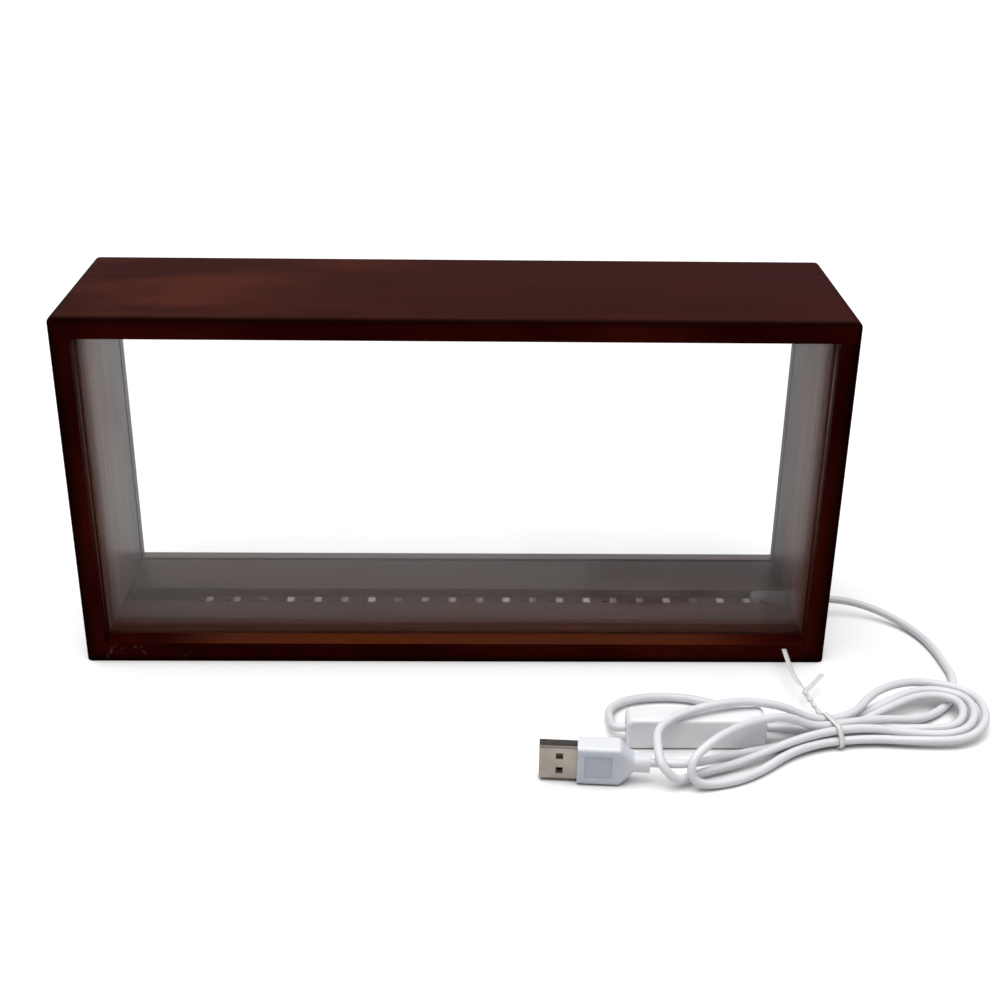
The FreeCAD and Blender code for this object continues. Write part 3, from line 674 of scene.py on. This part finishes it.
def wood_finish(board):
    """Stained wood with its grain along a board, darker outside edges, painted shade and light, and paler and
    bare places inside.
    """
    material, tree, shader, place = new_finish(board.look)
    turned = add(tree, "ShaderNodeMapping", {"Vector": place, "Rotation": board.way}).outputs[0]
    grain = add(tree, "ShaderNodeGroup", {"Vector": turned}, node_tree=grain_group).outputs
    edge_inputs = {"Vector": place, "Width": board.dark_width}
    edge = add(tree, "ShaderNodeGroup", edge_inputs, node_tree=arris).outputs
    parts = parts_of(tree, place)
    x, y, z = parts
    whole_lip, lip_painted_light = lip_masks(tree, parts, board.lip)
    # Painted shade: the front faces and the whole lips are darkened, partly as a deeper stain.
    front = sum_of(tree, "MAXIMUM", ease(tree, y, *front_edge), whole_lip)
    patches = times(tree, grain["Cloud"], ease(tree, x, *patchy_side))
    inner = ease(tree, sum_of(tree, "ABSOLUTE", x), *inner_faces)
    streaks = ease(tree, grain["Streak"], *pale_inside_streaks)
    pale_inside = times(tree, inner, streaks, ease(tree, y, *pale_inside_depth), board.worn_share)
    colour = blend_colour(tree, grain["Streak"], wood_dark, wood_mid)
    colour = blend_colour(tree, patches, colour, wood_brown)
    colour = blend_colour(tree, pale_inside, colour, wood_pale_inside)
    front_stain_and_shade_colour = blend_colour(tree, grain["Cloud"], wood_front_stain_and_shade, wood_warm)
    scuffs = ease(tree, noise(tree, place, scuff_scale, 4.0, 0.7), *scuff_marks)
    scuffed = times(tree, ease(tree, x, *scuff_along), ease(tree, z, *scuff_height), scuffs)
    front_stain_and_shade_colour = blend_colour(tree, scuffed, front_stain_and_shade_colour, wood_scuff)
    colour = blend_colour(tree, times(tree, front, front_stain_and_shade_share), colour, front_stain_and_shade_colour)
    # Painted light on the lip, between the wood's brown and the lip's own painted colour.
    lip_light_colour = blend_colour(tree, grain["Streak"], wood_brown, board.lip.colour)
    colour = blend_colour(tree, lip_painted_light, colour, lip_light_colour)
    colour = blend_colour(tree, times(tree, edge["Mask"], arris_share), colour, wood_arris)
    colour = blend_colour(tree, times(tree, grain["Pore"], pore_share), colour, wood_arris)
    sunk = times(tree, ease(tree, apart(tree, y, light_line), *groove_half), ease(tree, z, *groove_below))
    colour = blend_colour(tree, sunk, colour, wood_sunk)
    tree.links.new(colour, shader.inputs["Base Color"])
    tree.links.new(ease(tree, grain["Cloud"], 0.0, 1.0, *lacquer_roughness), shader.inputs["Roughness"])
    sheen = ease(tree, y, *sheen_depth, board.front_sheen, board.rear_sheen)
    sheen = sum_of(tree, "ADD", sheen, ease(tree, y, *rear_lip, 0.0, board.lip_sheen))
    sheen = times(tree, sheen, ease(tree, sunk, 0.0, 1.0, 1.0, 0.0))
    tree.links.new(sheen, shader.inputs["Specular IOR Level"])
    raise_surface(tree, shader, grain["Streak"], fine_depth)
    return material


boards = [
    Board("top_board", "dark wood top", along_x, 0.0005, 0.0008, 0.0, 0.0, 0.003, top_lip),
    Board("floor_board", "dark wood floor", along_x, 0.001, 0.06, 0.35, 0.35, 0.003, floor_lip),
    Board("left_board", "dark wood left", along_z, 0.001, 0.036, 0.0, 0.9, 0.0055, left_lip),
    Board("right_board", "dark wood right", along_z, 0.001, 0.009, 0.0, 0.9, 0.0065, right_lip),
]
for board in boards:
    give(wood_finish(board), board.piece)
print(len(boards), "boards are stained")

# %% [markdown]
# ## Clear panels
# The front and the sliding back are clear acrylic. Glass could be faked with a see-through shader, but a real
# transmission shader mirrors the pale table as the photograph shows, which is the grey haze over the inside.
# Light runs inside a clear sheet and leaves at its edges, which look grey-green. They are tinted by how near
# a point is to the end of its sheet, so the panel can be seen against white when it is drawn out.

# %% Clear acrylic
clear_tint = (0.995, 1.0, 1.0, 1.0)
smear_tint = (0.985, 0.99, 0.99, 1.0)
edge_tint = (0.42, 0.50, 0.48, 1.0)
edge_band = 0.0012
edge_full = 0.0002
smear_size = 0.0012
smear_roughness = 0.02
film_height = (0.004, 0.055)
film_weight = (0.15, 1.0)


def clear_finish(name):
    """Clear acrylic with a faint smear, a hazy film and darker edges, for the panel of that name."""
    material, tree, shader, place = new_finish("clear " + name)
    smear = add(tree, "ShaderNodeGroup", {"Vector": place, "Size": smear_size}, node_tree=speckle).outputs
    tint = blend_colour(tree, smear["Cloud"], clear_tint, smear_tint)
    corners = [Vector(corner) for corner in nodes[name].bound_box]
    parts = parts_of(tree, place)
    near_end = 0.0
    for axis in (0, 2):
        low = min(corner[axis] for corner in corners)
        high = max(corner[axis] for corner in corners)
        half = (high - low) / 2
        away = apart(tree, parts[axis], (low + high) / 2)
        near_end = sum_of(tree, "MAXIMUM", near_end, ease(tree, away, half - edge_band, half - edge_full))
    tint = blend_colour(tree, near_end, tint, edge_tint)
    tree.links.new(tint, shader.inputs["Base Color"])
    tree.links.new(ease(tree, smear["Marks"], 0.0, 1.0, 0.0, smear_roughness), shader.inputs["Roughness"])
    shader.inputs["IOR"].default_value = 1.25
    shader.inputs["Transmission Weight"].default_value = 1.0
    tree.links.new(ease(tree, parts[2], *film_height, *film_weight), shader.inputs["Coat Weight"])
    shader.inputs["Coat Roughness"].default_value = 0.35
    shader.inputs["Coat IOR"].default_value = 1.45
    return material


for panel in ("front_panel", "rear_panel"):
    give(clear_finish(panel), panel)
print("panels are clear")

# %% [markdown]
# ## Light strip
# A narrow dark circuit lies in a groove across the floor, with a light every 10 mm, a resistor beside each,
# and copper pads at the places where it may be cut. The pads could be pieces, but they are thinner than
# paint, so they are drawn by where a point lies within each 10 mm step. The lights are off. Their bodies are
# painted dark as shade, and a painted highlight on their front and top stands for the daylight that they
# catch, so they show as pale flecks.

# %% Masks along the strip
light_pitch = 0.010
strip_start = -0.097
pad_half = (0.0013, 0.0012)
pad_row = 0.0021
pad_row_half = (0.0009, 0.0008)
lit_depth = (0.0016, 0.0006)
lit_half = (0.0018, 0.0008)
lit_change = (75.0, 0.0, 0.0)
lit_share = (0.36, 0.64, 0.12, 1.0)
resistor_shift = 0.002
resistor_end = (0.0006, 0.00065)


def within_step(tree, place, start):
    """How far a point lies from the middle of its 10 mm step, and how far behind the light line."""
    parts = parts_of(tree, place)
    along = sum_of(tree, "FLOORED_MODULO", sum_of(tree, "SUBTRACT", parts[0], start), light_pitch)
    return apart(tree, along, light_pitch / 2), sum_of(tree, "SUBTRACT", parts[1], light_line)


def pad_mask(tree, place):
    """Copper pads on both sides of each cutting line."""
    beside, behind = within_step(tree, place, strip_start + light_pitch / 2)
    from_row = apart(tree, sum_of(tree, "ABSOLUTE", behind), pad_row)
    return times(tree, ease(tree, beside, *pad_half), ease(tree, from_row, *pad_row_half))


def painted_highlight_on_lights(tree, place):
    """Painted highlight on the front and top of each light, where daylight would catch it, some lights more
    than others.
    """
    beside, behind = within_step(tree, place, strip_start)
    uneven = ease(tree, noise(tree, stretch(tree, place, lit_change), 1.0, 1.0), *lit_share)
    return times(tree, ease(tree, behind, *lit_depth), ease(tree, beside, *lit_half), uneven)


def resistor_end_mask(tree, place):
    """Tinned ends of each resistor."""
    beside = within_step(tree, place, strip_start + resistor_shift - light_pitch / 2)[0]
    return ease(tree, beside, *resistor_end)


print("strip starts at", strip_start, "in steps of", light_pitch)

# %% Circuit and its parts
dull = 0.03
shade_share = 0.9
satin = (0.4, 0.5)
small_grain = 0.0003
# The lights' dark colour is painted shade, and their pale colour is a painted highlight.
lights_in_painted_shade = (0.09, 0.036, 0.028)


def recolour(material, mask_of, other):
    """Gives a finish another colour where a mask says."""
    tree = material.node_tree
    base = tree.nodes["Principled BSDF"].inputs["Base Color"]
    place = tree.nodes["Texture Coordinate"].outputs["Object"]
    plain = base.links[0].from_socket
    tree.links.new(blend_colour(tree, mask_of(tree, place), plain, (*other, 1.0)), base)


def two_tone(name, colour, other, size, roughness, mask_of, shine):
    """A speckled finish with another colour where a mask says."""
    shade = [value * shade_share for value in colour]
    material = speckled(name, colour, shade, size, roughness, fine_depth, 0.0, shine)
    recolour(material, mask_of, other)
    return material


circuit = two_tone("circuit brown", (0.080, 0.031, 0.024), (0.11, 0.05, 0.03), 0.0006, satin, pad_mask, dull)
light_body = two_tone("light body", lights_in_painted_shade, (0.66, 0.55, 0.50), small_grain, satin, painted_highlight_on_lights, dull)
lens = two_tone("light lens", lights_in_painted_shade, (0.62, 0.51, 0.45), small_grain, satin, painted_highlight_on_lights, dull)
resistor = two_tone("resistor", (0.10, 0.042, 0.033), (0.13, 0.07, 0.06), small_grain, satin,
                    resistor_end_mask, dull)
tape = speckled("foam tape", (0.060, 0.024, 0.018), (0.05, 0.020, 0.016), 0.0004, (0.7, 0.9), 0.00005, 0.0,
                dull)
give(circuit, "strip_board")
give(light_body, "strip_lights")
give(lens, "strip_lenses")
give(resistor, "strip_resistors")
give(tape, "strip_tape")
print("light strip is finished")

# %% [markdown]
# ## Wires, solder, glue and nails
# These are small and mostly out of sight: two thin wires, the solder that joins them to the strip, a lump of
# hot glue over both, and the pins in the corner joints. Each could have its own nodes, but the speckled
# finish with its own colours and grain is enough.

# %% Small inner pieces
Small = namedtuple("Small", "piece look colour shade roughness depth metallic")
small_pieces = [
    Small("wire_positive", "wire red", (0.45, 0.03, 0.025), (0.36, 0.02, 0.02), (0.35, 0.5), fine_depth, 0.0),
    Small("wire_negative", "wire black", (0.02, 0.02, 0.02), (0.03, 0.03, 0.03), (0.35, 0.5), fine_depth,
          0.0),
    Small("solder_joints", "solder", (0.62, 0.62, 0.63), (0.45, 0.45, 0.46), (0.15, 0.35), 0.00003, 1.0),
    Small("pin_nails", "nail steel", (0.50, 0.50, 0.51), (0.35, 0.34, 0.33), (0.3, 0.45), fine_depth, 1.0),
]
for small in small_pieces:
    give(speckled(small.look, small.colour, small.shade, small_grain, small.roughness, small.depth,
                  small.metallic), small.piece)
glue_finish = speckled("hot glue", (0.16, 0.092, 0.095), (0.11, 0.06, 0.06), 0.0012, (0.25, 0.4), 0.00012,
                       0.0, 0.15)
glue_finish.node_tree.nodes["Principled BSDF"].inputs["Transmission Weight"].default_value = 0.3
give(glue_finish, "end_glue")
print("inner pieces are finished:", len(small_pieces) + 1)

# %% [markdown]
# ## Switch and plug
# Both are moulded white plastic: the switch is hard and slightly glossy, and the plug's overmould is softer,
# a little blue and matt. The plug's shell is plated steel, drawn along its length, so its streaks are
# stretched that way and turned with the plug.

# %% Switch and contacts
switch_finish = speckled("switch white", (0.84, 0.84, 0.855), (0.81, 0.81, 0.83), 0.00025, (0.28, 0.38),
                         fine_depth)
give(switch_finish, "switch_front_shell", "switch_rear_shell", "switch_button", "plug_tongue")
brass = speckled("contact brass", (0.62, 0.44, 0.18), (0.50, 0.33, 0.12), small_grain, (0.2, 0.35),
                 fine_depth, 1.0)
give(brass, "switch_bridge", "switch_contacts", "plug_contacts")
print("switch and contacts are finished")

# %% Plug's overmould
plug_blue = (0.58, 0.60, 0.67)
plug_pale_and_painted_light = (0.76, 0.77, 0.80)
plug_recess_painted_shade = (0.48, 0.50, 0.575)
recess_middle = (-0.0159, 0.0)
recess_half = (0.0043, 0.0042)
recess_blend = 0.0002
recess_face = (-0.0039, -0.0037)
neck_reach = (-0.0110, -0.0050, 0.0, 0.6)
upper_edge = (0.0055, 0.0066)


def from_neck(tree, place):
    """The parts of a place in the plug's own frame: along it from the neck's end, across it, and up."""
    moved = add(tree, "ShaderNodeVectorMath", {0: place, 1: plug_neck.place}, operation="SUBTRACT").outputs[0]
    inputs = {"Vector": moved, "Angle": -plug_yaw}
    return parts_of(tree, add(tree, "ShaderNodeVectorRotate", inputs, rotation_type="Z_AXIS").outputs[0])


def within(tree, value, middle, half):
    """One where a value lies within a half width of a middle."""
    return ease(tree, apart(tree, value, middle), half + recess_blend, half)


def recess_mask(tree, place):
    """The floor of the shallow panel in the overmould's front face, painted darker as shade."""
    along, across, up = from_neck(tree, place)
    lengthways = within(tree, along, recess_middle[0], recess_half[0])
    upright = within(tree, up, recess_middle[1], recess_half[1])
    return times(tree, lengthways, upright, ease(tree, across, *recess_face))


def pale_neck_and_painted_top_light(tree, place):
    """The upper edge, with painted light on it, and the neck, which is paler."""
    parts = from_neck(tree, place)
    return sum_of(tree, "MAXIMUM", ease(tree, parts[0], *neck_reach), ease(tree, parts[2], *upper_edge))


# The overmould's upper edge is painted paler as light falling on its top; the neck is paler too.
plug_finish = two_tone("plug white", plug_blue, plug_pale_and_painted_light, small_grain, (0.35, 0.5), pale_neck_and_painted_top_light, 0.5)
# The recess floor is painted darker as shade.
recolour(plug_finish, recess_mask, plug_recess_painted_shade)
give(plug_finish, "plug_overmould")
print("overmould has", len(plug_finish.node_tree.nodes), "nodes")

# %% Plated shell
plate_bright = (0.34, 0.305, 0.27, 1.0)
plate_dull = (0.27, 0.24, 0.21, 1.0)
plate_mark = (0.20, 0.17, 0.14, 1.0)
plate_top_painted_dark = (0.09, 0.078, 0.07, 1.0)
dark_top_height = (0.0119, 0.0126)
drawn_stretch = (150.0, 6000.0, 6000.0)
drawn_depth = 0.000006
tarnish_size = 0.0002
plated, tree, shader, place = new_finish("plated steel")
turned = add(tree, "ShaderNodeMapping", {"Vector": place, "Rotation": (0.0, 0.0, -plug_yaw)}).outputs[0]
drawn = noise(tree, stretch(tree, turned, drawn_stretch), 1.0, 3.0)
tarnish = add(tree, "ShaderNodeGroup", {"Vector": place, "Size": tarnish_size}, node_tree=speckle).outputs
colour = blend_colour(tree, ease(tree, tarnish["Cloud"], 0.3, 0.75), plate_bright, plate_dull)
colour = blend_colour(tree, times(tree, tarnish["Marks"], mark_share), colour, plate_mark)
# Painted reflection: the top of the shell is painted nearly black, as a dark reflection on it.
painted_dark_top = ease(tree, parts_of(tree, place)[2], *dark_top_height)
colour = blend_colour(tree, painted_dark_top, colour, plate_top_painted_dark)
tree.links.new(colour, shader.inputs["Base Color"])
tree.links.new(ease(tree, drawn, 0.3, 0.7, 0.26, 0.42), shader.inputs["Roughness"])
shader.inputs["Metallic"].default_value = 1.0
raise_surface(tree, shader, drawn, drawn_depth)
give(plated, "plug_shell")
print("plug shell is plated")

# %% Cords and their pieces
print("cords are laid and finished")

# %% [markdown]
# ## Floor, light and surroundings
# The photograph stands on plain white. The floor is a pale matt sheet that keeps the object's soft shadow,
# and a little glow, seen only by the camera and in mirrors and glass, lifts it to white. The glow fades where
# the floor is hemmed in, as under the strands of the hank, so they keep their dark gaps. One very wide lamp
# above, a little to the front and left, stands for the studio's soft boxes. It is a sun, because a sun lights
# the whole floor alike, and an even sky fills the shadows.

# %% Floor
floor_half = 6.0
floor_drop = 0.0002
floor_grey = (0.64, 0.64, 0.64, 1.0)
white = (1.0, 1.0, 1.0, 1.0)
hemmed_distance = 0.015
glow_openness = (0.2, 0.8)
glow_most = 0.44


def seen_directly(tree):
    """One for what the camera sees directly, in a mirror or through glass, and nought for other light."""
    path = add(tree, "ShaderNodeLightPath", {}).outputs
    seen = sum_of(tree, "MAXIMUM", path["Is Camera Ray"], path["Is Glossy Ray"])
    return sum_of(tree, "MAXIMUM", seen, path["Is Transmission Ray"])


floor = bmesh.new()
floor_place = Matrix.Translation((0, 0, -floor_drop))
bmesh.ops.create_grid(floor, x_segments=4, y_segments=4, size=floor_half, matrix=floor_place)
floor_mesh = bpy.data.meshes.new("floor")
floor.to_mesh(floor_mesh)
floor.free()
floor_piece = put_in_scene("floor", floor_mesh)
paper, tree, shader, place = new_finish("pale floor")
tree.links.new(ease(tree, noise(tree, place, 3.0), 0.3, 0.7, 0.8, 0.9), shader.inputs["Roughness"])
shader.inputs["Base Color"].default_value = floor_grey
shader.inputs["Specular IOR Level"].default_value = 0.0
shader.inputs["Emission Color"].default_value = white
openness = add(tree, "ShaderNodeAmbientOcclusion", {"Distance": hemmed_distance}).outputs["AO"]
glow = times(tree, seen_directly(tree), ease(tree, openness, *glow_openness, 0.0, glow_most))
tree.links.new(glow, shader.inputs["Emission Strength"])
floor_mesh.materials.append(paper)
print("floor is", 2 * floor_half, "m wide")

# %% Sky and lamp
sky_fill = 0.2
sky_seen = 1.0
sky = bpy.data.worlds.new("sky")
sky.use_nodes = True
tree = sky.node_tree
sky_light = tree.nodes["Background"]
sky_light.inputs["Color"].default_value = white
sky_strength = ease(tree, seen_directly(tree), 0.0, 1.0, sky_fill, sky_seen)
tree.links.new(sky_strength, sky_light.inputs["Strength"])
scene.world = sky
scene.view_settings.view_transform = "Standard"
lamp_data = bpy.data.lights.new("wide lamp", "SUN")
lamp_data.angle = math.radians(64.0)
lamp_data.energy = 3.1
lamp = put_in_scene("wide lamp", lamp_data)
lamp.rotation_euler = (math.radians(3.0), math.radians(-6.0), 0.0)
print("lamp of", lamp_data.energy, "watts to the square metre")
